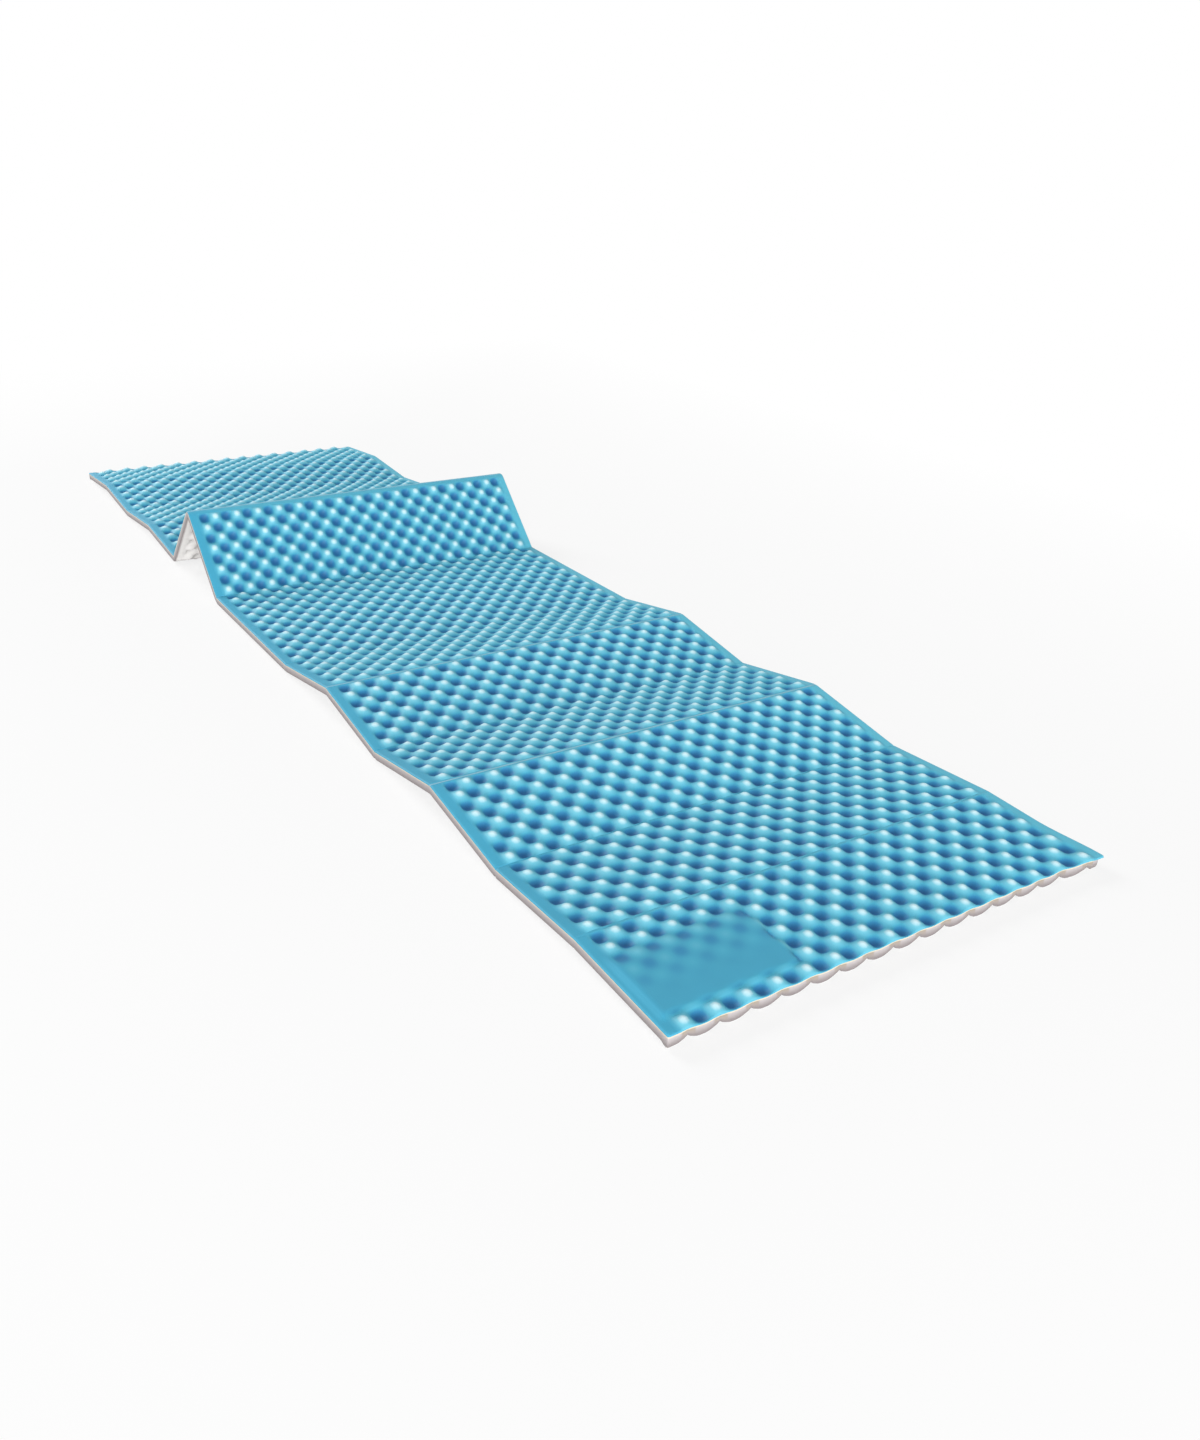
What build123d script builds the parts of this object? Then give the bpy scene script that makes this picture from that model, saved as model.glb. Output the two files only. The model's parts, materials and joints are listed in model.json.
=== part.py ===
"""Accordion-fold foam sleeping pad: fourteen egg-crate panels joined by thirteen live creases.

Each panel is a wavy sheet of two foams, a softer top layer on a denser base layer, and every
crease is a thin web of foam left at the bottom of a slit. The pad stands half unfolded: its
panels slope in pairs, and one pair is propped up as a tent.

+X runs across the pad, +Y along it from the front edge and +Z up. The origin is on the floor,
at the centre of the pad's footprint.
"""

from build123d import *
import os
from math import cos, radians, sin

os.makedirs("parts", exist_ok=True)

# Driving dimensions, in millimetres and degrees.
pad_width = 510
panel_length = 133  # from crease to crease
foam_thickness = 11  # between the mean levels of the two faces
wave_height = 4.5  # from a face's mean level to its peaks, and down to its pits
crease_row_height = 3  # the same for the rows beside a crease
column_count = 31  # peaks and pits across a panel
row_count = 8  # peaks and pits along a panel
column_pitch = 15.7
crease_gap = 0.8  # from a crease's axis to the end of each panel
web_thickness = 1.2
web_depth = 3
edge_stride = 6  # columns between the points of a relief's straight front and rear borders
side_stride = 4  # rows between those of its straight sides
pair_slopes = (2.8, 9.7, 9.4, 0, 44, 5, 4.5)  # rise of each pair of panels, front to rear
standing_crease = 6  # the crease that stays in place while the pad folds

panel_count = 2 * len(pair_slopes)
row_pitch = panel_length / row_count
half_width = pad_width / 2
half_thickness = foam_thickness / 2
near_end = crease_gap
far_end = panel_length - crease_gap
floor_axis_height = foam_thickness + wave_height  # of the creases that lie on the floor


def slope(panel):
    """A panel's tilt at rest: odd panels rise to a ridge and even ones fall from it."""
    angle = pair_slopes[(panel - 1) // 2]
    return angle if panel % 2 else -angle


def pair_reach(pair):
    """Half the floor that a pair of panels covers, from crease axis to crease axis."""
    angle = radians(pair_slopes[pair])
    return panel_length * cos(angle) + foam_thickness * sin(angle)


# The floor creases, first with the front edge at zero, then about the footprint's centre.
floor_marks = [2 * sum(pair_reach(p) for p in range(count)) for count in range(len(pair_slopes) + 1)]
front_edge = floor_marks[0] + near_end * cos(radians(pair_slopes[0]))
rear_edge = floor_marks[-1] - near_end * cos(radians(pair_slopes[-1]))
footprint_centre = (front_edge + rear_edge) / 2


def crease_axis(crease):
    """The point on a crease's axis at the pad's middle. Even creases lie on the floor."""
    pair = crease // 2
    y = floor_marks[pair] - footprint_centre
    if crease % 2 == 0:
        return Vector(0, y, floor_axis_height)
    angle = radians(pair_slopes[pair])
    rise = panel_length * sin(angle) - foam_thickness * cos(angle)
    return Vector(0, y + pair_reach(pair), floor_axis_height + rise)


def panel_place(panel):
    """Where a panel's own frame stands: X across, Y from its near end, Z out of its top face."""
    turn = Location((0, 0, 0), (slope(panel), 0, 0))
    if panel % 2:
        return Location(crease_axis(panel - 1)) * turn * Location((0, 0, -half_thickness))
    return Location(crease_axis(panel)) * turn * Location((0, -panel_length, -half_thickness))


def wave_point(column, row, level):
    """A peak or pit of the egg-crate relief. Neighbours along and across are opposite, and the
    rows beside a crease are lower, so that two panels' faces swing clear of each other."""
    across = (column - (column_count - 1) / 2) * column_pitch
    middle_column = (column_count - 1) // 2
    up = 1 if (column + row + middle_column) % 2 else -1
    height = crease_row_height if row in (0, row_count - 1) else wave_height
    return Vector(across, (row + 0.5) * row_pitch, level + up * height)


def border(level):
    """A relief's straight border at its mean level: front, rear, left and right points."""
    inner = [wave_point(c, 0, level).X for c in range(edge_stride // 2, column_count, edge_stride)]
    across = [-half_width] + inner + [half_width]
    along = [near_end] + [r * row_pitch for r in range(side_stride, row_count, side_stride)] + [far_end]
    front = [Vector(x, near_end, level) for x in across]
    rear = [Vector(x, far_end, level) for x in across]
    left = [Vector(-half_width, y, level) for y in along]
    right = [Vector(half_width, y, level) for y in along]
    return front, rear, left, right


def stitch(fine, coarse):
    """Triangles between two lines of points that run side by side."""
    triangles = []
    f, c = 0, 0
    while f < len(fine) - 1 or c < len(coarse) - 1:
        fine_left = f < len(fine) - 1
        coarse_left = c < len(coarse) - 1
        step_fine = not coarse_left or (
            fine_left and (fine[f + 1] - coarse[c]).length <= (coarse[c + 1] - fine[f]).length
        )
        if step_fine:
            triangles.append((fine[f], fine[f + 1], coarse[c]))
            f += 1
        else:
            triangles.append((fine[f], coarse[c + 1], coarse[c]))
            c += 1
    return triangles


def relief(level, ridged):
    """The triangles of one egg-crate face, from the peaks and pits to the straight border.

    A saddle's fold line joins its two peaks on a ridged face and its two pits on a grooved one.
    Faces that fold together are one of each, so every ridge lies down in a groove, and one face
    is the other's turned copy: they nest, and are clear of each other at every angle."""
    rows = [[wave_point(c, r, level) for c in range(column_count)] for r in range(row_count)]
    front, rear, left, right = border(level)
    triangles = stitch(rows[0], front) + stitch(rows[-1], rear)
    from_crease = 1 if ridged else -1
    for column, side in ((0, left), (-1, right)):
        peaks_and_pits = [row[column] for row in rows]
        triangles += stitch(peaks_and_pits[::from_crease], side[::from_crease])
    for near, far in zip(rows, rows[1:]):
        for c in range(column_count - 1):
            saddle = [near[c], near[c + 1], far[c + 1], far[c]]
            if (saddle[0].Z > saddle[1].Z) != ridged:
                saddle = saddle[1:] + saddle[:1]
            triangles.append((saddle[0], saddle[1], saddle[2]))
            triangles.append((saddle[0], saddle[2], saddle[3]))
    return triangles


def wall(edge, level):
    """The flat wall from a straight border down or up to the bond between the foams."""
    start, end = edge[0], edge[-1]
    return edge + [Vector(end.X, end.Y, level), Vector(start.X, start.Y, level)]


def foam_layer(level, ridged):
    """One closed layer of a panel in the panel's frame, from the bond to its egg-crate face."""
    bond = 0
    front, rear, left, right = border(level)
    outlines = relief(level, ridged) + [wall(edge, bond) for edge in (front, rear, left, right)]
    outlines.append([Vector(edge.X, edge.Y, bond) for edge in (front[0], front[-1], rear[-1], rear[0])])
    faces = [Face(Wire.make_polygon(points)) for points in outlines]
    with BuildPart() as layer:
        add(Solid(Shell(faces)))
    return layer.part


layers = {"top": half_thickness, "base": -half_thickness}
patterns = {(name, odd): foam_layer(level, odd) for name, level in layers.items() for odd in (False, True)}

for number in range(1, panel_count + 1):
    for layer_name in layers:
        with BuildPart() as panel_layer:
            add(patterns[layer_name, number % 2 == 1].moved(panel_place(number)))
        panel_layer.part.label = f"panel_{number:02d}_{layer_name}"
        export_step(panel_layer.part, f"parts/{panel_layer.part.label}.step")


def web_panel(crease):
    """The panel whose end a crease's web lies against."""
    return crease + 1 if crease <= standing_crease else crease


# A web hangs from the top face's level at a floor crease, and stands on the underside's at a ridge.
for number in range(1, panel_count):
    web_side = Align.MIN if number % 2 else Align.MAX
    web_place = Location(crease_axis(number)) * Location((0, 0, 0), (slope(web_panel(number)), 0, 0))
    with BuildPart() as web:
        with Locations(web_place):
            Box(pad_width, web_thickness, web_depth, align=(Align.CENTER, Align.CENTER, web_side))
    web.part.label = f"crease_{number:02d}"
    export_step(web.part, f"parts/{web.part.label}.step")
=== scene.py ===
"""Looks of an accordion-fold foam sleeping pad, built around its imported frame.

Each panel is a heat-moulded sheet of two foams, and each crease is a web of the same foam that
bends between its two panels. A panel is shaped in its own frame and then placed against its ridge
crease. In that frame u runs across the pad, v along it from the near crease's axis, and h out of
the top face from mid thickness."""

import json
from math import cos, pi, radians, sin

import bmesh
import bpy
import numpy as np
from bpy.props import FloatProperty, FloatVectorProperty, IntProperty, PointerProperty
from mathutils import Matrix, Vector


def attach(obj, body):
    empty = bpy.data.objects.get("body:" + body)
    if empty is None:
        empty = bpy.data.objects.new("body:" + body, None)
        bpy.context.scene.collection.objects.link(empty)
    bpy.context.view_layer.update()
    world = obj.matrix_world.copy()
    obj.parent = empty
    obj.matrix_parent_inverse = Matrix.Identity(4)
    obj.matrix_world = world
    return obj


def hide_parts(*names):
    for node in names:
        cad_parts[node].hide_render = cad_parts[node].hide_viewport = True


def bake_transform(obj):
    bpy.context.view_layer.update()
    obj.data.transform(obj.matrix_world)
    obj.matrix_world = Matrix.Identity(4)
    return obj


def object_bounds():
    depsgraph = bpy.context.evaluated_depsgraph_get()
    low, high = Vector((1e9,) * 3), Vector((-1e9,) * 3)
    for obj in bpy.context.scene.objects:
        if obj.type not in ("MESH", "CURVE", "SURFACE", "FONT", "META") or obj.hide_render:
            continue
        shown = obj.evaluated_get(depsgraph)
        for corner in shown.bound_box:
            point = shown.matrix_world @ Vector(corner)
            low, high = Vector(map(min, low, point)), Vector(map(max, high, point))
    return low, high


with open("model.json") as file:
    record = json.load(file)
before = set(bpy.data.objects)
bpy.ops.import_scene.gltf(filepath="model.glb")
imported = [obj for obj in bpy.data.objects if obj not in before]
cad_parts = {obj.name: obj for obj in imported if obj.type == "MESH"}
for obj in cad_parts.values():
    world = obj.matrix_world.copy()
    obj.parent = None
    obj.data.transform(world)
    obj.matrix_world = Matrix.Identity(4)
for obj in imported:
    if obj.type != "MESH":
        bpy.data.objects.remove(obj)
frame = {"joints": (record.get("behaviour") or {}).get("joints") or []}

bl_info = {
    "name": "Folding foam sleeping pad",
    "version": (1, 0, 0),
    "blender": (4, 5, 0),
    "location": "View3D > Sidebar > Sleeping pad",
    "description": "Models the moulded panels and live creases of a folding pad, and lights them",
    "category": "Object",
}

CAD_LOW, CAD_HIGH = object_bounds()
PAD_WIDTH = CAD_HIGH.x - CAD_LOW.x
JOINTS = {joint["name"]: joint for joint in frame["joints"]}
CREASES = 13
STANDING_CREASE = 6
CLOSED_SLOPE = 89.0  # each panel's slope when the pad is packed, in degrees
BLUE_FOAM = "moulded_blue_xpe_foam"
GREY_FOAM = "cut_grey_xpe_foam"

# How finely the foam is meshed.
RIM_LINES = 4  # lines over a rounded rim, its two borders among them
RIM_ROOM = 0.3  # of a cell's face, kept free beside a rim
BAND_LINES = 3  # lines inside a flat side band
WEB_SPANS = 8  # faces along a web, from side to side
TOUCH = 1e-9  # two lines as close as this are one line
CRISP_ANGLE = 42.0  # edges that turn further than this stay crisp, in degrees

# How the moulding runs out at creases, sides and ends, in metres where they are lengths.
SETTLE = 0.003  # from a crease to where the relief stands at its full height
BAND_EDGE = 0.0012  # width of the change from the waves' colours to a side band's
SIDE_EDGE = 0.003  # the same from the underside's colour to a side wall's
CUT_REACH = 0.001  # how close to the pad's own end a vertex stands on its wall
DUST_AND_SHADE_REACH = 0.003  # how far the dust and painted shade of the notches lie in from the pad's own ends
LOBE_HANG = 0.85  # of the wave height, that the lobes of the cut ends hang lower
LOBE_POWER = 0.5  # 1 gives the lobes a cosine's shape, and less makes them blunter
NOTCH_SLOPE = 1.6  # how quickly the dust and painted shade thin out from a notch to a lobe
NOTCH_START = 0.1  # and how much of it lies halfway

# How the front plate is coloured, in shares of the wave height.
PLATE_DEPTH = 0.2  # below the mean level's colour
PLATE_BORDER = 0.4  # further down along its left border, a painted shade on that slope
GHOST_START = 0.2  # of the plate's length, where the painted shade and highlight of the pressed-out pits begin to show

# The front right corner, drawn out where the sheet was lifted off its mould, in metres.
PULL_ALONG = 0.07
PULL_ACROSS = 0.05
PULL_FORWARD = 0.6  # how far it comes forward, as a share of how far it goes sideways
BASE_HELD = 0.5  # how far the base foam stays back at the very tip, as a share of the pull

# The webs, in metres where they are lengths.
WEB_NECK_LINES = 11  # lines across a slit's neck, as wide as the crease gaps
WEB_WING_START = 0.0013  # where the lines beside the neck begin
WEB_WING_LINES = 6
WEB_WING_LEAST = 0.0014  # a slit that opens less than this has none
RIDGE_GROOVE = 0.0005  # how deep the top of a bent ridge sinks
FLOOR_GROOVE = 0.0003  # and the top of a crease on the floor
FLOOR_HOLLOW = 0.0008  # how far the slit goes up into a crease on the floor
WEB_CLEARANCE = 0.0003  # between a web and the underside's mean level
WORN = 0.7  # how far the worn colour covers a fully bent ridge
WORN_WIDTH = 0.0008  # from the axis to where the worn colour has nearly faded out
WORN_SHARE = 0.3  # of the way to a panel's end, where it has nearly faded out at the latest
WORN_CORE = 0.3  # of that distance, over which it is at its fullest
BEND_UNWORN = 0.12  # up to this bend a ridge isn't worn, in radians
BEND_RANGE = 0.3  # further bend that wears it fully

# The studio, in metres.
FLOOR_SIZE = 60
FLOOR_CLEARANCE = 0.0002
SHADOW_REACH = 0.1  # round the pad, where the floor is least glowing
GLOW_REACH = 1.2  # and where it is fully white
SHADOW_GLOW = 0.78  # how white the floor looks at the pad, 1 being fully white


# ---- sizes and colours ----


def length(name, description, default):
    """A size of the pad, in metres."""
    return FloatProperty(
        name=name, description=description, default=default, unit="LENGTH", precision=5
    )


def colour(name, description, code):
    """A colour from its sRGB hex code."""
    return FloatVectorProperty(
        name=name,
        description=description,
        default=linear(code)[:3],
        subtype="COLOR",
        size=3,
        min=0,
        max=1,
    )


def linear(code):
    """A hex colour in linear light, with alpha."""
    channels = [int(code[i : i + 2], 16) / 255 for i in (1, 3, 5)]
    light = (c / 12.92 if c <= 0.04045 else ((c + 0.055) / 1.055) ** 2.4 for c in channels)
    return (*light, 1.0)


class PadSizes(bpy.types.PropertyGroup):
    """Sizes of the foam."""

    panel_length: length("Panel length", "From one crease's axis to the next", 0.133)
    thickness: length("Foam thickness", "Between the mean levels of the two faces", 0.011)
    skin: length("Blue layer", "Thickness of the top foam", 0.0016)
    wave_height: length("Wave height", "From a face's mean level to its peaks", 0.0045)
    roundness: FloatProperty(
        name="Roundness of the pits",
        description="0 leaves pits and peaks alike",
        default=0.45,
        min=0,
        max=0.5,
    )
    column_pitch: length("Column pitch", "From a peak to the pit beside it", 0.0157)
    rows: IntProperty(name="Rows", description="Peaks and pits along a panel", default=8)
    columns: IntProperty(name="Columns", description="Peaks and pits across a panel", default=31)
    crease_gap: length("Crease gap", "From a crease's axis to a panel's end", 0.0008)
    rim: length("Rim radius", "Rounding of the outer edges", 0.0015)
    lobe_rim: length("Lobe rim", "Rounding under the lobes at the pad's own ends", 0.0045)
    crease_rim: length("Crease rim", "Rounding of the edges beside a crease", 0.00015)
    corner: length("Corner radius", "Rounding of the pad's four corners in plan", 0.002)
    pulled: length("Pulled corner", "How far the front right corner is drawn out", 0.008)
    cell_faces: IntProperty(
        name="Faces a cell", description="Mesh faces across one peak or pit", default=6
    )


class PlateSizes(bpy.types.PropertyGroup):
    """The smooth moulded plate on the front panel."""

    left: length("Left side", "From the pad's middle", -0.2450)
    right: length("Right side", "From the pad's middle", -0.1090)
    near: length("Near side", "From where the front edge's crease would be", 0.0215)
    far: length("Far side", "From the same line", 0.0820)
    level: length("Level", "Above the top face's mean level", 0.0024)
    slope: length("Slope", "Width of the moulded slope around it", 0.0055)
    far_slope: length("Far slope", "Width of the slope behind it, over half-filled pits", 0.0300)
    # Painted shade and highlight: the pits' colours still show faintly on the flat plate.
    ghost: FloatProperty(
        name="Ghosts",
        description="How far the pits pressed out of it still show as shades",
        default=0.3,
    )


class PadColours(bpy.types.PropertyGroup):
    """Colours of the two foams."""

    # From pit to crest these follow the relief: pit and hollow are painted shade, shoulder and
    # crest a painted highlight, and the flank is the foam's own blue.
    pit: colour("Pit", "Pressed foam at the bottom of a pit", "#205F91")
    hollow: colour("Hollow", "The side of a pit", "#3082B0")
    flank: colour("Flank", "Foam at the mean level", "#49A8C4")
    shoulder: colour("Shoulder", "Foam below a peak", "#74C6DA")
    crest: colour("Crest", "Foam on the peaks", "#D0F1F9")
    band: colour("Side band", "Foam pressed flat along the left side", "#45A6C6")
    # Painted light: the right side band is drawn paler than the left, for the light that falls on
    # that side.
    right_band_painted_light: colour("Pale side band", "The same on the right, pressed less", "#5DB9D1")
    worn: colour("Worn crease", "Stretched skin on a ridge", "#C3D3DA")
    cut: colour("Cut edge", "Fresh cut under the blue layer", "#E2D6BC")
    base: colour("Base foam", "Underside", "#F1EFED")
    # Painted shade: this darker grey on the side and end walls stands in for the shade that lies on
    # them.
    side: colour("Handled side", "Base foam along the sides", "#BBB4B5")
    # Painted shade: the walls grow darker towards the bottom, where they turn away from the light.
    foot_shade: colour("Foot of the sides", "Base foam rubbed grey where it meets the ground", "#8F8787")
    # Dust and painted shade: the notches between the lobes are drawn a darker tan.
    crevice_dust_and_shade: colour("Crevice", "Dust between the lobes of the cut ends", "#9A8A74")


# ---- small tools ----


def pad():
    """The sizes that the scene holds."""
    return bpy.context.scene.pad_sizes


def deselect():
    """Leaves nothing selected, so that the next operator acts on its own piece alone."""
    bpy.ops.object.select_all(action="DESELECT")


def smoothstep(x):
    """Eases from 0 to 1 over the same range."""
    x = np.clip(x, 0, 1)
    return x * x * (3 - 2 * x)


def add_node(tree, kind, settings=(), **links):
    """Adds a node. Settings are its own properties. Links fill its sockets, which go by name or by
    number, with values or with other nodes' outputs."""
    node = tree.nodes.new(kind)
    for name, value in dict(settings).items():
        setattr(node, name, value)
    for name, value in links.items():
        number = name[1:]
        socket = node.inputs[int(number) if number.isdigit() else name.replace("_", " ")]
        if isinstance(value, bpy.types.NodeSocket):
            tree.links.new(value, socket)
        else:
            socket.default_value = value
    return node


def lay_over(tree, shade, *layers):
    """Lays colours over a shade, one after the other, each by its own share from 0 to 1."""
    for share, tint in layers:
        under, over = [
            c if isinstance(c, bpy.types.NodeSocket) else (*c[:3], 1.0) for c in (shade, tint)
        ]
        mix = add_node(tree, "ShaderNodeMix", {"data_type": "RGBA"}, _0=share, _6=under, _7=over)
        shade = mix.outputs[2]
    return shade


# ---- the panels' shape ----


def row_pitch():
    """From a peak to the pit beyond it, along a panel."""
    return pad().panel_length / pad().rows


def band_start():
    """Where the waves end and the flat side bands begin, from the pad's middle."""
    return pad().columns / 2 * pad().column_pitch


def wave(u, v, way=1):
    """The egg-crate relief of the top face, or of the underside where the way is -1. Both have
    pits rounder than their peaks, so two faces that fold together nest with a little room."""
    across = np.where(np.abs(u) < band_start(), np.cos(pi * u / pad().column_pitch), 0)
    even = -across * np.sin(pi * v / row_pitch())
    return pad().wave_height * (even - way * pad().roundness * even**2 * (1 - even**2))


def settled(v, ends, free):
    """0 at a crease, where the relief dies away into the web's level, and 1 away from it."""
    near, far = [
        1.0 if is_free else smoothstep(np.abs(v - end) / SETTLE) for end, is_free in zip(ends, free)
    ]
    return near * far


def rounding(u, v, ends, rims):
    """How far the rounded edges have dropped at each point of a face."""
    half = PAD_WIDTH / 2
    drop = np.zeros_like(u)
    for along, rim in ((v - ends[0], rims[0]), (ends[1] - v, rims[1])):
        side = np.clip(1 - (half - np.abs(u)) / pad().rim, 0, 1)
        end = np.clip(1 - along / rim, 0, 1)
        reach = np.clip(np.hypot(side, end), 0, 1)
        radius = pad().rim + (rim - pad().rim) * end
        drop = np.maximum(drop, radius * (1 - np.sqrt(1 - reach**2)))
    return drop


def lines(low, high, inner, rims):
    """Where the vertices stand along one axis: on the inner lines, and crowded over both rims."""
    turn = 1 - np.cos(np.linspace(0, pi / 2, RIM_LINES))
    start, end = low + rims[0] * turn, (high - rims[1] * turn)[::-1]
    room = RIM_ROOM * (inner[1] - inner[0])
    between = inner[(inner > start[-1] + room) & (inner < end[0] - room)]
    return np.concatenate([start, between, end])


def foam_block(name, across, along, levels):
    """A closed block of foam whose vertices stand on lines across and along it. It starts as a grid
    that is extruded down once for each further level, and a level gives its vertices their place.
    Returns the piece, and each vertex's two lines and level."""
    deselect()
    bpy.ops.mesh.primitive_grid_add(
        x_subdivisions=len(across) - 1, y_subdivisions=len(along) - 1, size=1
    )
    piece = bpy.context.object
    piece.name = piece.data.name = name
    bpy.ops.object.mode_set(mode="EDIT")
    for _ in levels[1:]:
        bpy.ops.mesh.extrude_region_move(TRANSFORM_OT_translate={"value": (0, 0, -1)})
    bpy.ops.object.mode_set(mode="OBJECT")
    points = read_points(piece)
    column = np.rint((points[:, 0] + 0.5) * (len(across) - 1)).astype(int)
    row = np.rint((points[:, 1] + 0.5) * (len(along) - 1)).astype(int)
    depth = np.rint(-points[:, 2]).astype(int)
    u, v = across[column], along[row]
    for level, place in enumerate(levels):
        here = depth == level
        points[here] = np.stack(place(u[here], v[here]), axis=1)
    write_points(piece, points)
    turn_outwards(piece)
    bpy.ops.object.shade_smooth_by_angle(angle=radians(CRISP_ANGLE))
    return piece, u, v, depth


def turn_outwards(piece):
    """Points every face outwards. On a thin wedge the operator can take the inside for the outside,
    so the sign of the volume is looked at as well."""
    bpy.ops.object.mode_set(mode="EDIT")
    bpy.ops.mesh.select_all(action="SELECT")
    bpy.ops.mesh.normals_make_consistent(inside=False)
    if bmesh.from_edit_mesh(piece.data).calc_volume(signed=True) < 0:
        bpy.ops.mesh.flip_normals()
    bpy.ops.object.mode_set(mode="OBJECT")


def read_points(piece):
    """A mesh's vertices, one row each."""
    points = np.empty(len(piece.data.vertices) * 3)
    piece.data.vertices.foreach_get("co", points)
    return points.reshape(-1, 3)


def write_points(piece, points):
    """Moves a mesh's vertices to these places."""
    piece.data.vertices.foreach_set("co", points.ravel())
    piece.data.update()


def write_attribute(piece, name, values):
    """Stores one number for each vertex, for the materials."""
    attribute = piece.data.attributes.new(name, "FLOAT", "POINT")
    attribute.data.foreach_set("value", np.asarray(values, dtype=np.float32))


def write_bands(piece, u):
    """Marks the flat bands along both sides, and the right one once more, for the painted light
    that makes it paler.
    """
    share = smoothstep((np.abs(u) - band_start()) / BAND_EDGE + 0.5)
    write_attribute(piece, "band", share)
    write_attribute(piece, "right_band_painted_light", share * (u > 0))


def split_faces(piece, panel):
    """Splits a panel's faces into triangles, the other way on even panels: then the faces of two
    panels that fold together still nest."""
    split = piece.modifiers.new("split", "TRIANGULATE")
    split.quad_method = "FIXED" if panel % 2 else "FIXED_ALTERNATE"
    bpy.ops.object.modifier_apply(modifier=split.name)


def panel_lines(ends, rims):
    """The lines across and along a panel's mesh."""
    half, cell = PAD_WIDTH / 2, pad().column_pitch / pad().cell_faces
    count = round(2 * band_start() / cell)
    inner = np.linspace(-band_start(), band_start(), count + 1)
    band = np.linspace(band_start(), half, BAND_LINES + 2)[1:-1]
    inner = np.concatenate([-band[::-1], inner, band])
    steps = np.linspace(0, pad().panel_length, pad().rows * pad().cell_faces + 1)
    return lines(-half, half, inner, (pad().rim, pad().rim)), lines(*ends, steps, rims)


def round_corners(u, v, ends, free):
    """Draws the pad's own corners in to a radius, in plan."""
    radius = pad().corner
    u, v = u.copy(), v.copy()
    for end, is_free, way in ((ends[0], free[0], -1), (ends[1], free[1], 1)):
        if not is_free:
            continue
        centre_u, centre_v = PAD_WIDTH / 2 - radius, end - way * radius
        a = np.clip((np.abs(u) - centre_u) / radius, 0, 1)
        b = np.clip(way * (v - centre_v) / radius, 0, 1)
        corner = (a > 0) & (b > 0)
        scale = np.maximum(a, b)[corner] / np.hypot(a, b)[corner]
        u[corner] = np.sign(u[corner]) * (centre_u + radius * a[corner] * scale)
        v[corner] = centre_v + way * radius * b[corner] * scale
    return u, v


def pulled_corner(u, v, held):
    """Draws the front right corner out to a point. A layer that is held stays back by that share
    over the last quarter of the way to the tip."""
    near = smoothstep(1 - v / PULL_ALONG) * smoothstep(1 - (PAD_WIDTH / 2 - u) / PULL_ACROSS)
    pull = pad().pulled * (near - held * smoothstep(4 * near - 3))
    return u + pull, v - PULL_FORWARD * pull


def plate_cover(u, v):
    """1 on the moulded plate, 0 outside its slopes."""
    plate = bpy.context.scene.plate_sizes
    inside_u = np.minimum(u - plate.left, plate.right - u) / plate.slope
    inside_v = np.minimum((v - plate.near) / plate.slope, (plate.far - v) / plate.far_slope)
    return smoothstep(1 + inside_u) * smoothstep(1 + inside_v)


def plate_shades(u, v, relief):
    """The relief that the plate's colours follow: deeper than its level along the left border, as
    painted shade on that slope, and with the painted shade and highlight of the pressed-out pits
    towards its far side."""
    plate = bpy.context.scene.plate_sizes
    cover = plate_cover(u, v)
    border = 4 * cover * (1 - cover) * (u < plate.left)
    way = (v - plate.near) / (plate.far - plate.near)
    ghost = plate.ghost * cover * smoothstep(way - GHOST_START)
    return relief * (1 - cover + ghost) - PLATE_DEPTH * cover - PLATE_BORDER * border


def free_ends(panel):
    """Whether a panel's near and far ends are the pad's own ends."""
    return panel == 1, panel == CREASES + 1


def panel_ends():
    """Where a panel starts and stops, from its near crease axis."""
    return pad().crease_gap, pad().panel_length - pad().crease_gap


def scallops(u, v, ends, free):
    """How much lower the underside hangs at the pad's own ends, where the last row is cut through
    and its studs stand as a line of lobes."""
    extra = np.zeros_like(u)
    turn = pi * u / 2 / pad().column_pitch
    for end, is_free in zip(ends, free):
        if not is_free:
            continue
        fade = 1 - np.clip(np.abs(v - end) / (row_pitch() / 2), 0, 1)
        studs = np.abs(np.cos(turn) if end < row_pitch() else np.sin(turn)) ** LOBE_POWER
        waves = np.abs(u) < band_start() + pad().column_pitch
        extra += waves * smoothstep(fade) * pad().wave_height * LOBE_HANG * studs
    return extra


def cut_ends(v, ends, free):
    """1 on the walls of the pad's own ends."""
    near, far = [(np.abs(v - end) < CUT_REACH) * is_free for end, is_free in zip(ends, free)]
    return near | far


def dust_and_shade_in_notches(u, v, ends, free):
    """1 in the notches between the lobes of the pad's own ends, where dust and painted shade darken
    the grey foam.
    """
    dusty = np.zeros_like(u)
    for end, is_free in zip(ends, free):
        if is_free:
            between = np.cos(pi * u / pad().column_pitch) * (-1 if end < row_pitch() else 1)
            notch = smoothstep(NOTCH_SLOPE * between + NOTCH_START)
            dusty = np.maximum(dusty, notch * (np.abs(v - end) < DUST_AND_SHADE_REACH))
    return dusty


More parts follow.
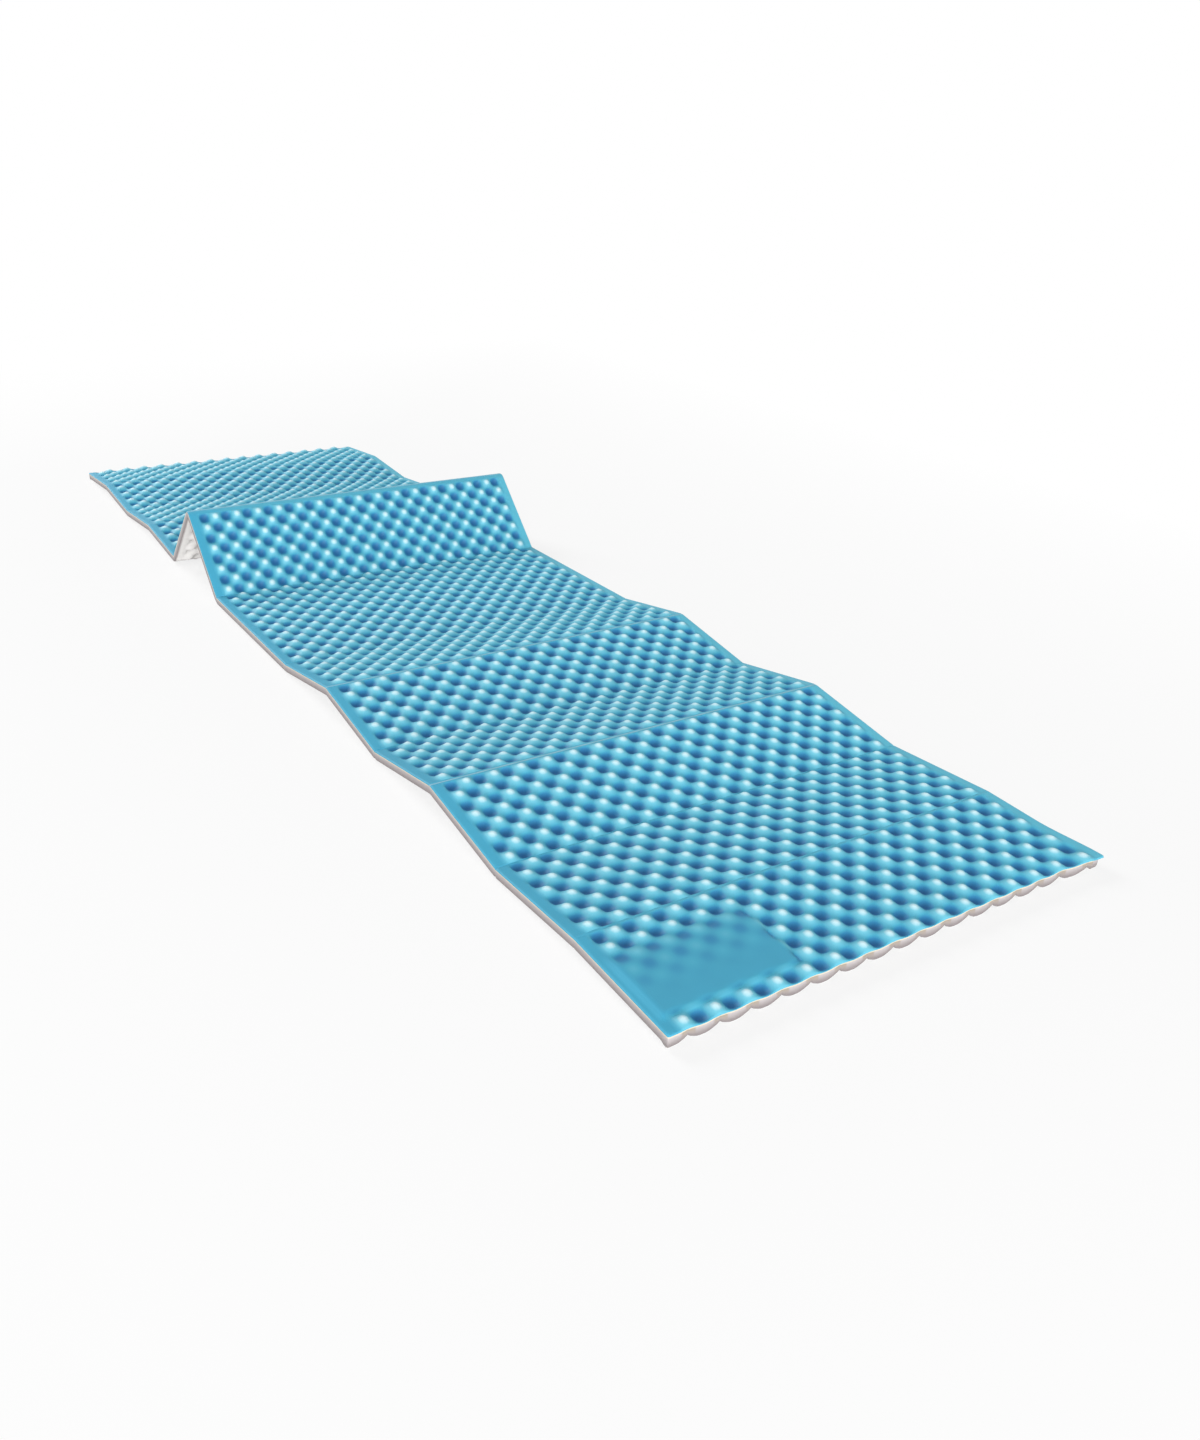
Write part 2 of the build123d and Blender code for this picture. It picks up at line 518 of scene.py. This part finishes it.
def panel_layer(name, panel, layer):
    """One foam of a panel, in the panel's own frame."""
    ends, free = panel_ends(), free_ends(panel)
    rims = [pad().rim if is_free else pad().crease_rim for is_free in free]
    lobe_rims = [pad().lobe_rim if is_free else rim for rim, is_free in zip(rims, free)]
    half = pad().thickness / 2
    across, along = panel_lines(ends, rims if layer == "top" else lobe_rims)

    def face(height):
        """A surface of the layer, with the pad's corners as they are in plan."""

        def place(u, v):
            plan = round_corners(u, v, ends, free)
            if panel == 1:
                plan = pulled_corner(*plan, BASE_HELD if layer == "base" else 0.0)
            return (*plan, height(u, v))

        return place

    def moulded(u, v):
        cover = plate_cover(u, v) if panel == 1 else 0
        relief = wave(u, v) * settled(v, ends, free)
        return half + relief * (1 - cover) + cover * bpy.context.scene.plate_sizes.level

    def top(u, v):
        return moulded(u, v) - rounding(u, v, ends, rims)

    def bond(u, v):
        return moulded(u, v) - pad().skin

    def underside(u, v):
        relief = wave(u, v, -1) * settled(v, ends, free)
        hang = np.maximum(relief - scallops(u, v, ends, free), -pad().wave_height)
        return -half + hang + rounding(u, v, ends, lobe_rims)

    levels = {"top": (top, bond), "base": (bond, underside)}[layer]
    piece, u, v, depth = foam_block(name, across, along, [face(level) for level in levels])
    if layer == "top":
        # The relief drives the painted shade in the pits and the painted highlight on the crests.
        relief = wave(u, v) / pad().wave_height
        write_attribute(piece, "relief", plate_shades(u, v, relief) if panel == 1 else relief)
        write_bands(piece, u)
    else:
        # The side and end walls take the darker side colour, a painted shade.
        side = smoothstep((np.abs(u) - PAD_WIDTH / 2) / SIDE_EDGE + 1)
        write_attribute(piece, "side", np.maximum(side, cut_ends(v, ends, free)))
        write_attribute(piece, "below_bond", depth)
        # Dust and painted shade in the notches between the lobes, at the bond level of the walls.
        write_attribute(piece, "crevice_dust_and_shade", dust_and_shade_in_notches(u, v, ends, free) * (depth == 0))
    split_faces(piece, panel)
    return piece


# ---- where the panels and creases stand ----


def crease_axis(crease):
    """A point on a crease's axis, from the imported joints."""
    name = f"fold_{crease:02d}" if crease != STANDING_CREASE else f"fold_{crease:02d}_rear"
    return Vector(JOINTS[name]["pos_m"])


def ridge_of(panel):
    """The ridge crease at a panel's far end, or at its near end on even panels."""
    return panel if panel % 2 else panel - 1


def slope(panel):
    """A panel's tilt at rest, in radians: odd panels rise to a ridge and even ones fall from it."""
    travel = JOINTS[f"fold_{ridge_of(panel):02d}"]["range_deg"][1]
    tilt = radians(CLOSED_SLOPE - travel / 2)
    return tilt if panel % 2 else -tilt


def panel_place(panel):
    """The matrix that sets a panel against its ridge crease."""
    turn = Matrix.Rotation(slope(panel), 4, "X")
    at_ridge = Vector((0, pad().panel_length if panel % 2 else 0, -pad().thickness / 2))
    return Matrix.Translation(crease_axis(ridge_of(panel)) - turn @ at_ridge) @ turn


def place_copy(master, name, matrix):
    """A copy with its own mesh, whose place is in its vertices."""
    piece = bpy.data.objects.new(name, master.data.copy())
    piece.data.name = name
    bpy.context.scene.collection.objects.link(piece)
    piece.data.transform(matrix)
    piece.data.update()
    return piece


def build_layers(layer, finish):
    """Models a layer once for each kind of panel and sets a copy in every panel."""
    masters = {}
    for panel in range(1, CREASES + 2):
        kind = (panel % 2, free_ends(panel))
        if kind not in masters:
            masters[kind] = panel_layer(f"{layer}_master", panel, layer)
            masters[kind].data.materials.append(finish)
        node = f"panel_{panel:02d}_{layer}"
        piece = place_copy(masters[kind], f"{node}_foam", panel_place(panel))
        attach(piece, f"panel_{panel:02d}")
        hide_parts(node)
    for master in masters.values():
        bpy.data.objects.remove(master)


# ---- creases ----


def crease_section(crease, side=None):
    """The lines across a crease's slit, from the front panel's end to the rear panel's, or to its
    middle for one side of the standing crease. Returns each line's share of the way, from -1 to 1,
    and how far the slit opens to each side."""
    front, rear = slope(crease), slope(crease + 1)
    reach = pad().crease_gap + abs(front - rear) * pad().thickness / 2
    neck = np.linspace(-pad().crease_gap, pad().crease_gap, WEB_NECK_LINES)
    wing = np.linspace(WEB_WING_START, reach, WEB_WING_LINES)
    if reach <= WEB_WING_LEAST:
        wing = np.empty(0)
    spots = np.concatenate([neck, wing, -wing, [-reach, reach]])
    share = np.unique(np.clip(spots, -reach, reach)) / reach
    if side == "front":
        share = share[share <= TOUCH]
    if side == "rear":
        share = share[share >= -TOUCH]
    return share, reach


def crease_piece(name, crease, finishes, side=None):
    """The web of foam in a crease's slit: a narrow wedge from one panel's end to the other's."""
    axis, front, rear = crease_axis(crease), slope(crease), slope(crease + 1)
    ridge = crease % 2 == 1
    bent = np.clip((abs(front) + abs(rear) - BEND_UNWORN) / BEND_RANGE, 0, 1) if ridge else 0
    share, reach = crease_section(crease, side)
    half = PAD_WIDTH / 2
    spans = np.linspace(-half, half, WEB_SPANS + 1)
    across = lines(-half, half, spans, (pad().rim, pad().rim))
    groove = RIDGE_GROOVE * bent if ridge else FLOOR_GROOVE
    hollow = 0.0 if ridge else FLOOR_HOLLOW

    def at(depth_of):
        """A surface of the web, which turns from the front panel's tilt to the rear one's."""

        def place(x, t):
            turn = front + (rear - front) * (t + 1) / 2
            edge = np.clip(1 - (half - np.abs(x)) / pad().rim, 0, 1)
            dropped = pad().rim * (1 - np.sqrt(1 - edge**2))
            depth = depth_of(t, dropped)
            out = pad().thickness - depth if ridge else -depth
            along = pad().crease_gap * t
            y = axis.y + along * np.cos(turn) - out * np.sin(turn)
            z = axis.z + along * np.sin(turn) + out * np.cos(turn)
            return x, y, z

        return place

    def top(t, dropped):
        return groove * np.cos(pi / 2 * t) + dropped

    def bond(t, dropped):
        return pad().skin + 0 * t

    def underside(t, dropped):
        return pad().thickness - WEB_CLEARANCE - hollow * np.cos(pi / 2 * t) - dropped

    levels = [at(top), at(bond), at(underside)]
    piece, _, t, depth = foam_block(name, across, share, levels)
    for finish in finishes:
        piece.data.materials.append(finish)
    write_bands(piece, read_points(piece)[:, 0])
    write_attribute(piece, "below_bond", np.clip(depth - 1, 0, 1))
    # The web's grey foam takes the walls' painted shade all over.
    write_attribute(piece, "side", np.ones_like(t))
    line = np.maximum(np.abs(t * reach) / WORN_WIDTH, np.abs(t) / WORN_SHARE)
    write_attribute(piece, "worn", WORN * bent * (depth == 0) * smoothstep(1 + WORN_CORE - line))
    for face in piece.data.polygons:
        face.material_index = int(max(depth[i] for i in face.vertices) > 1)
    return piece


def build_creases(finishes):
    """A web at each crease, shaped to turn from the tilt of one panel to the next one's."""
    for crease in range(1, CREASES + 1):
        node = f"crease_{crease:02d}"
        sides = ("front", "rear") if crease == STANDING_CREASE else (None,)
        for side in sides:
            name = f"{node}_web" + (f"_{side}" if side else "")
            piece = crease_piece(name, crease, finishes, side)
            bend_crease(piece, side)
            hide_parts(node)


def bend_crease(piece, side):
    """Bakes a web's place into its mesh."""
    if side == "front":
        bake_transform(piece)
    elif side == "rear":
        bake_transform(piece)
    else:
        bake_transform(piece)


# ---- materials ----


def foam_material(name):
    """A new node material with its tree, its shader and its object coordinates."""
    material = bpy.data.materials.new(name)
    material.use_nodes = True
    tree = material.node_tree
    tree.nodes.clear()
    shader = add_node(tree, "ShaderNodeBsdfPrincipled")
    add_node(tree, "ShaderNodeOutputMaterial", Surface=shader.outputs["BSDF"])
    place = add_node(tree, "ShaderNodeTexCoord").outputs["Object"]
    return material, tree, shader, place


def read_marks(tree, *names):
    """The numbers that a piece's vertices carry for its material."""
    return {
        name: add_node(tree, "ShaderNodeAttribute", {"attribute_name": name}).outputs["Fac"]
        for name in names
    }


def uneven_colour(tree, place, shader, shade, patch, detail, low, high):
    """Gives the shader a colour that is darker and lighter in patches of about this size."""
    noise = add_node(tree, "ShaderNodeTexNoise", Vector=place, Scale=1 / patch, Detail=detail)
    drift = add_node(
        tree, "ShaderNodeMapRange", Value=noise.outputs["Fac"], To_Min=low, To_Max=high
    )
    varied = add_node(
        tree,
        "ShaderNodeVectorMath",
        {"operation": "SCALE"},
        _0=shade,
        Scale=drift.outputs["Result"],
    )
    tree.links.new(varied.outputs["Vector"], shader.inputs["Base Color"])


def foam_grain(tree, place, shader, cell, strength):
    """Fine closed cells in the skin, as a bump. They are drawn a few times their size, to show."""
    cells = add_node(
        tree, "ShaderNodeTexNoise", Vector=place, Scale=1 / cell, Detail=3.0, Roughness=0.6
    )
    bump = add_node(
        tree,
        "ShaderNodeBump",
        Height=cells.outputs["Fac"],
        Strength=strength,
        Distance=0.0004,
    )
    tree.links.new(bump.outputs["Normal"], shader.inputs["Normal"])


def relief_light_and_shade(tree, relief):
    """The blue foam's colour at each height of its relief, from the pits to the crests: painted
    shade in the pits and a painted highlight on the crests.
    """
    shades = bpy.context.scene.pad_colours
    stops = {
        0.0: shades.pit,
        0.26: shades.hollow,
        0.44: shades.flank,
        0.72: shades.shoulder,
        0.93: shades.crest,
    }
    height = add_node(tree, "ShaderNodeMapRange", Value=relief, From_Min=-1.0, From_Max=1.0)
    ramp = add_node(tree, "ShaderNodeValToRGB", Fac=height.outputs["Result"])
    elements = ramp.color_ramp.elements
    while len(elements) < len(stops):
        elements.new(0.5)
    for element, (position, shade) in zip(elements, stops.items()):
        element.position = position
        element.color = (*shade[:3], 1.0)
    return ramp.outputs["Color"]


def moulded_blue_foam():
    """Cross-linked polyethylene foam with a heat-moulded skin and a satin shine. Its colour follows
    the relief: painted shade turns the pits a deeper blue, and a painted highlight leaves the
    crests pale."""
    shades = bpy.context.scene.pad_colours
    material, tree, shader, place = foam_material(BLUE_FOAM)
    marks = read_marks(tree, "relief", "band", "right_band_painted_light", "worn")
    shade = lay_over(
        tree,
        relief_light_and_shade(tree, marks["relief"]),
        (marks["band"], shades.band),
        (marks["right_band_painted_light"], shades.right_band_painted_light),
        (marks["worn"], shades.worn),
    )
    uneven_colour(tree, place, shader, shade, patch=0.03, detail=2.0, low=0.94, high=1.06)
    shader.inputs["Roughness"].default_value = 0.55
    shader.inputs["Specular IOR Level"].default_value = 0.32
    foam_grain(tree, place, shader, cell=0.0012, strength=0.25)
    return material


def base_grey_foam():
    """The denser base foam: matt, pale grey, with a cream line where the knife has cut the bond,
    and walls darkened with painted shade, most towards the bottom.
    """
    shades = bpy.context.scene.pad_colours
    material, tree, shader, place = foam_material(GREY_FOAM)
    marks = read_marks(tree, "below_bond", "side", "crevice_dust_and_shade")
    depth = marks["below_bond"]
    # Painted shade on the walls, darkest at the bottom.
    foot_shade = add_node(tree, "ShaderNodeMapRange", Value=depth, From_Min=0.25, From_Max=1.0)
    bond = add_node(tree, "ShaderNodeMapRange", Value=depth, From_Min=0.06, From_Max=0.22)
    walls = lay_over(tree, shades.side, (foot_shade.outputs["Result"], shades.foot_shade))
    shade = lay_over(
        tree, shades.base, (marks["side"], walls), (marks["crevice_dust_and_shade"], shades.crevice_dust_and_shade)
    )
    shade = lay_over(tree, shades.cut, (bond.outputs["Result"], shade))
    uneven_colour(tree, place, shader, shade, patch=0.008, detail=3.0, low=0.93, high=1.04)
    shader.inputs["Roughness"].default_value = 0.7
    foam_grain(tree, place, shader, cell=0.0015, strength=0.35)
    return material


def foam_finishes():
    """The two foams' materials, made once."""
    found = [bpy.data.materials.get(name) for name in (BLUE_FOAM, GREY_FOAM)]
    return found if all(found) else [moulded_blue_foam(), base_grey_foam()]


# ---- stage ----


class StageSizes(bpy.types.PropertyGroup):
    """Camera and lamps."""

    azimuth: FloatProperty(
        name="Azimuth", description="Round the pad from its front, in degrees", default=-34.534
    )
    elevation: FloatProperty(
        name="Elevation", description="Above the horizon, in degrees", default=25.792
    )
    roll: FloatProperty(name="Roll", description="Tilt of the camera, in degrees", default=2.581)
    lens: FloatProperty(
        name="Lens",
        description="Focal length on a 36 mm sensor",
        default=30.623,
        unit="CAMERA",
    )
    place: FloatVectorProperty(
        name="Camera place",
        description="In the pad's frame",
        default=(-0.71602, -1.46286, 0.62552),
        subtype="XYZ",
    )
    key: FloatProperty(
        name="Key lamp",
        description="Light from behind, where 1 makes a white card plain white",
        default=0.64,
    )
    fill: FloatProperty(
        name="Fill lamp", description="Light from the front left, on the same scale", default=1.13
    )
    sky: FloatProperty(name="Sky", description="Strength of the studio's own light", default=0.25)


def camera_matrix(azimuth, elevation, roll, place):
    """A camera that looks at the pad from these angles, level but for its roll."""
    back = Vector((sin(azimuth) * cos(elevation), -cos(azimuth) * cos(elevation), sin(elevation)))
    right = Vector((0, 0, 1)).cross(back).normalized()
    up = back.cross(right)
    turned = right * cos(roll) + up * sin(roll), up * cos(roll) - right * sin(roll), back
    matrix = Matrix(turned).transposed().to_4x4()
    matrix.translation = place
    return matrix


def soft_box(name, azimuth, elevation, distance, size, level):
    """A square area lamp that faces the pad's middle, from an angle round the pad and above it. At
    level 1 a white card that faces it comes out plain white."""
    a, e = radians(azimuth), radians(elevation)
    way = Vector((sin(a) * cos(e), cos(a) * cos(e), sin(e)))
    deselect()
    bpy.ops.object.light_add(type="AREA", location=way * distance)
    lamp = bpy.context.object
    lamp.name = name
    lamp.data.size = size
    lamp.data.energy = level * (pi * distance) ** 2
    lamp.rotation_euler = way.to_track_quat("Z", "Y").to_euler()


def white_to_camera(tree, shader, strength):
    """Mixes plain white into what the camera, glossy and transmission rays see of a surface."""
    path = add_node(tree, "ShaderNodeLightPath")
    seen = path.outputs["Is Camera Ray"]
    for name in ("Is Glossy Ray", "Is Transmission Ray"):
        ray = path.outputs[name]
        either = add_node(tree, "ShaderNodeMath", {"operation": "MAXIMUM"}, _0=seen, _1=ray)
        seen = either.outputs[0]
    share = add_node(tree, "ShaderNodeMath", {"operation": "MULTIPLY"}, _0=seen, _1=strength)
    white = add_node(tree, "ShaderNodeEmission", Color=(1, 1, 1, 1), Strength=1.0)
    mix = add_node(
        tree,
        "ShaderNodeMixShader",
        _0=share.outputs[0],
        _1=shader,
        _2=white.outputs["Emission"],
    )
    return mix.outputs["Shader"]


def glow_round_pad(tree):
    """How plain white the floor is: less near the pad, where its shadow lies, and fully far off."""
    place = add_node(tree, "ShaderNodeTexCoord").outputs["Object"]
    folded = add_node(tree, "ShaderNodeVectorMath", {"operation": "ABSOLUTE"}, _0=place)
    beyond = add_node(
        tree,
        "ShaderNodeVectorMath",
        {"operation": "SUBTRACT"},
        _0=folded.outputs["Vector"],
        _1=(*CAD_HIGH.xy, 0),
    )
    sides = add_node(tree, "ShaderNodeSeparateXYZ", Vector=beyond.outputs["Vector"]).outputs
    away = add_node(
        tree, "ShaderNodeMath", {"operation": "MAXIMUM"}, _0=sides["X"], _1=sides["Y"]
    )
    glow = add_node(
        tree,
        "ShaderNodeMapRange",
        Value=away.outputs[0],
        From_Min=SHADOW_REACH,
        From_Max=GLOW_REACH,
        To_Min=SHADOW_GLOW,
    )
    return glow.outputs["Result"]


def add_floor():
    """A matt white board under the pad, just clear of it."""
    deselect()
    bpy.ops.mesh.primitive_plane_add(
        size=FLOOR_SIZE, location=(0, 0, CAD_LOW.z - FLOOR_CLEARANCE)
    )
    floor = bpy.context.object
    floor.name = "studio_floor"
    bpy.ops.object.transform_apply(location=True, rotation=True, scale=True)
    material = bpy.data.materials.new("white_studio_board")
    material.use_nodes = True
    tree = material.node_tree
    tree.nodes.clear()
    board = add_node(tree, "ShaderNodeBsdfDiffuse", Color=linear("#F4F4F4")).outputs["BSDF"]
    surface = white_to_camera(tree, board, glow_round_pad(tree))
    add_node(tree, "ShaderNodeOutputMaterial", Surface=surface)
    floor.data.materials.append(material)


def add_world(sky):
    """A white studio, which lights the pad softly from all round."""
    world = bpy.data.worlds.new("studio")
    world.use_nodes = True
    tree = world.node_tree
    tree.nodes.clear()
    light = add_node(tree, "ShaderNodeBackground", Color=(1, 1, 1, 1), Strength=sky).outputs[0]
    add_node(tree, "ShaderNodeOutputWorld", Surface=white_to_camera(tree, light, 1.0))
    bpy.context.scene.world = world


# ---- operators, panel and registration ----


class PAD_OT_top_foam(bpy.types.Operator):
    """Model the blue egg-crate layer of every panel"""

    bl_idname = "sleeping_pad.top_foam"
    bl_label = "Top foam"

    def execute(self, context):
        build_layers("top", finish=foam_finishes()[0])
        return {"FINISHED"}


class PAD_OT_base_foam(bpy.types.Operator):
    """Model the grey base layer of every panel"""

    bl_idname = "sleeping_pad.base_foam"
    bl_label = "Base foam"

    def execute(self, context):
        build_layers("base", finish=foam_finishes()[1])
        return {"FINISHED"}


class PAD_OT_creases(bpy.types.Operator):
    """Model the webs of foam that join the panels"""

    bl_idname = "sleeping_pad.creases"
    bl_label = "Creases"

    def execute(self, context):
        build_creases(foam_finishes())
        return {"FINISHED"}


class PAD_OT_stage(bpy.types.Operator):
    """Set the floor, the lamps and the camera"""

    bl_idname = "sleeping_pad.stage"
    bl_label = "Stage"

    def execute(self, context):
        stage = context.scene.pad_stage
        bpy.ops.object.camera_add()
        camera = context.object
        angles = [radians(angle) for angle in (stage.azimuth, stage.elevation, stage.roll)]
        camera.matrix_world = camera_matrix(*angles, stage.place)
        camera.data.lens = stage.lens
        context.scene.camera = camera
        soft_box("key_lamp", azimuth=-20, elevation=32, distance=7.0, size=3.0, level=stage.key)
        soft_box("fill_lamp", azimuth=-160, elevation=18, distance=7.0, size=5.0, level=stage.fill)
        add_floor()
        add_world(stage.sky)
        context.scene.view_settings.view_transform = "Standard"
        return {"FINISHED"}


class PAD_PT_sidebar(bpy.types.Panel):
    """The pad's sizes, colours and building steps"""

    bl_idname = "PAD_PT_sidebar"
    bl_label = "Folding sleeping pad"
    bl_space_type = "VIEW_3D"
    bl_region_type = "UI"
    bl_category = "Sleeping pad"

    def draw(self, context):
        for operator in OPERATORS:
            self.layout.operator(operator.bl_idname)
        for name, group in SETTINGS.items():
            settings = getattr(context.scene, name)
            for setting in group.__annotations__:
                self.layout.prop(settings, setting)


SETTINGS = {
    "pad_sizes": PadSizes,
    "plate_sizes": PlateSizes,
    "pad_colours": PadColours,
    "pad_stage": StageSizes,
}
OPERATORS = (PAD_OT_stage, PAD_OT_top_foam, PAD_OT_base_foam, PAD_OT_creases)
CLASSES = (*SETTINGS.values(), *OPERATORS, PAD_PT_sidebar)


def register():
    """Adds the classes and hangs the settings on the scene."""
    for cls in CLASSES:
        bpy.utils.register_class(cls)
    for name, group in SETTINGS.items():
        setattr(bpy.types.Scene, name, PointerProperty(type=group))


def unregister():
    """Takes the settings and the classes away again."""
    for name in SETTINGS:
        delattr(bpy.types.Scene, name)
    for cls in reversed(CLASSES):
        bpy.utils.unregister_class(cls)


def main():
    """Builds the pad and its stage."""
    register()
    bpy.ops.sleeping_pad.stage()
    bpy.ops.sleeping_pad.top_foam()
    bpy.ops.sleeping_pad.base_foam()
    bpy.ops.sleeping_pad.creases()


if __name__ == "__main__":
    main()
